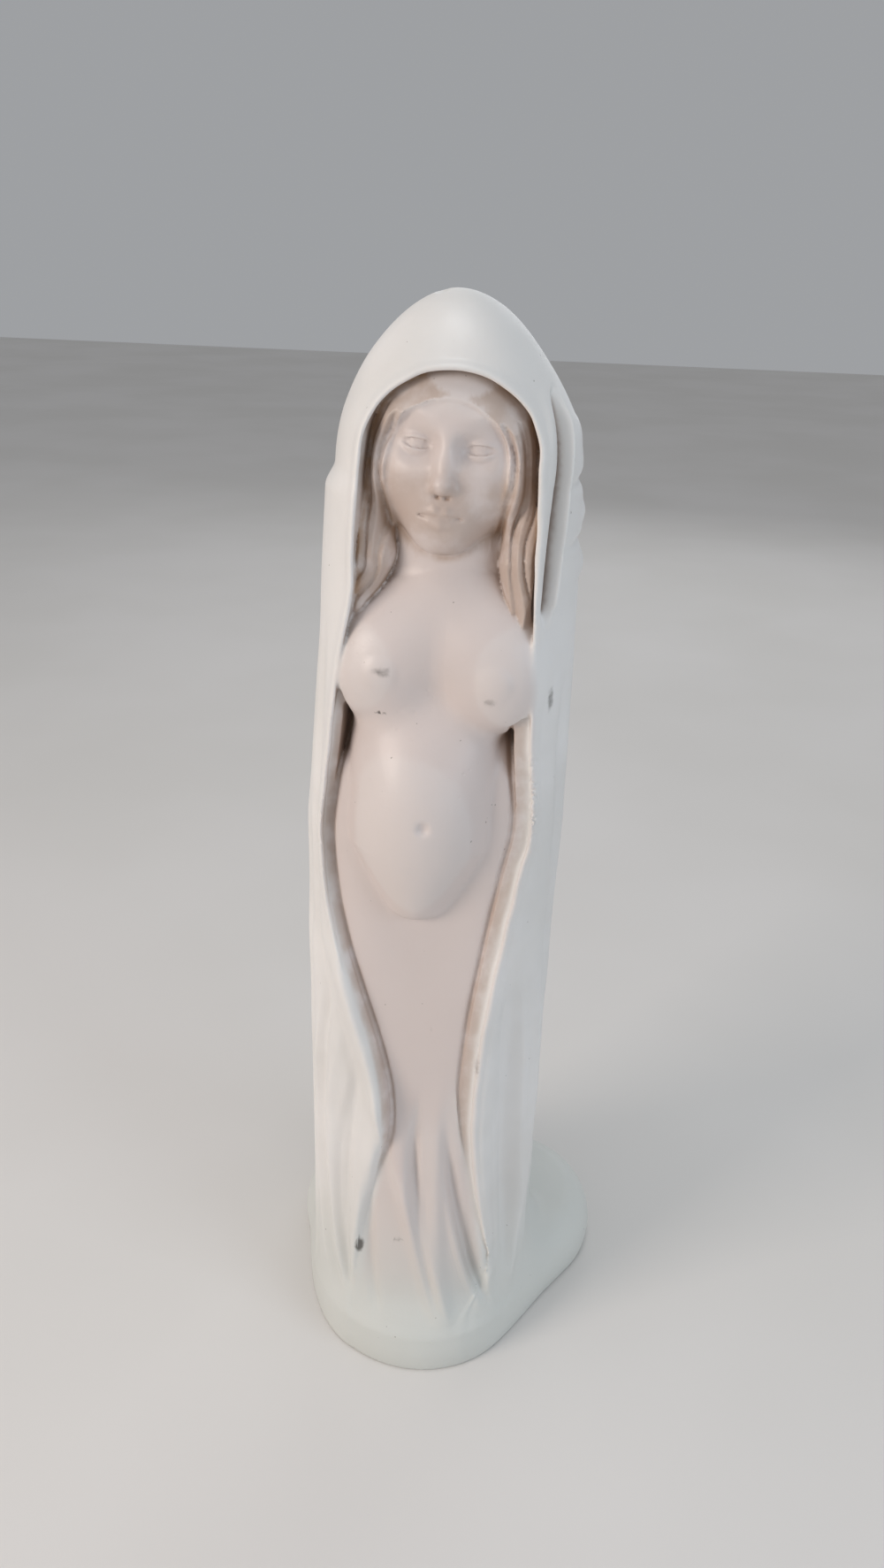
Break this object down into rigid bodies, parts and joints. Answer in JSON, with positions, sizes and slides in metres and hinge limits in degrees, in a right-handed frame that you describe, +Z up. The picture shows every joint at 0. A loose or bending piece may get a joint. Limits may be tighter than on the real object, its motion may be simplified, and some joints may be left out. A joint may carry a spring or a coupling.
{
  "type": "fertility figurine",
  "caption": "Small standing figurine of a pregnant woman in a hooded cloak open at the front, cast in one piece on a rounded spreading train that it stands on by its own weight",
  "frame": {"origin": "on the underside, below the figurine's axis", "axes": "+Z up along the standing figure, -Y the way the figure faces, +X to the viewer's right when facing it"},
  "size_m": [0.0452, 0.0445, 0.14],
  "materials": {
    "alabaster_resin": "cast resin imitating alabaster: warm off-white, satin, slightly translucent, with brown grime in the recesses and small moulding flaws"
  },
  "bodies": {
    "root": {"figurine": "alabaster_resin"}
  },
  "joints": []
}
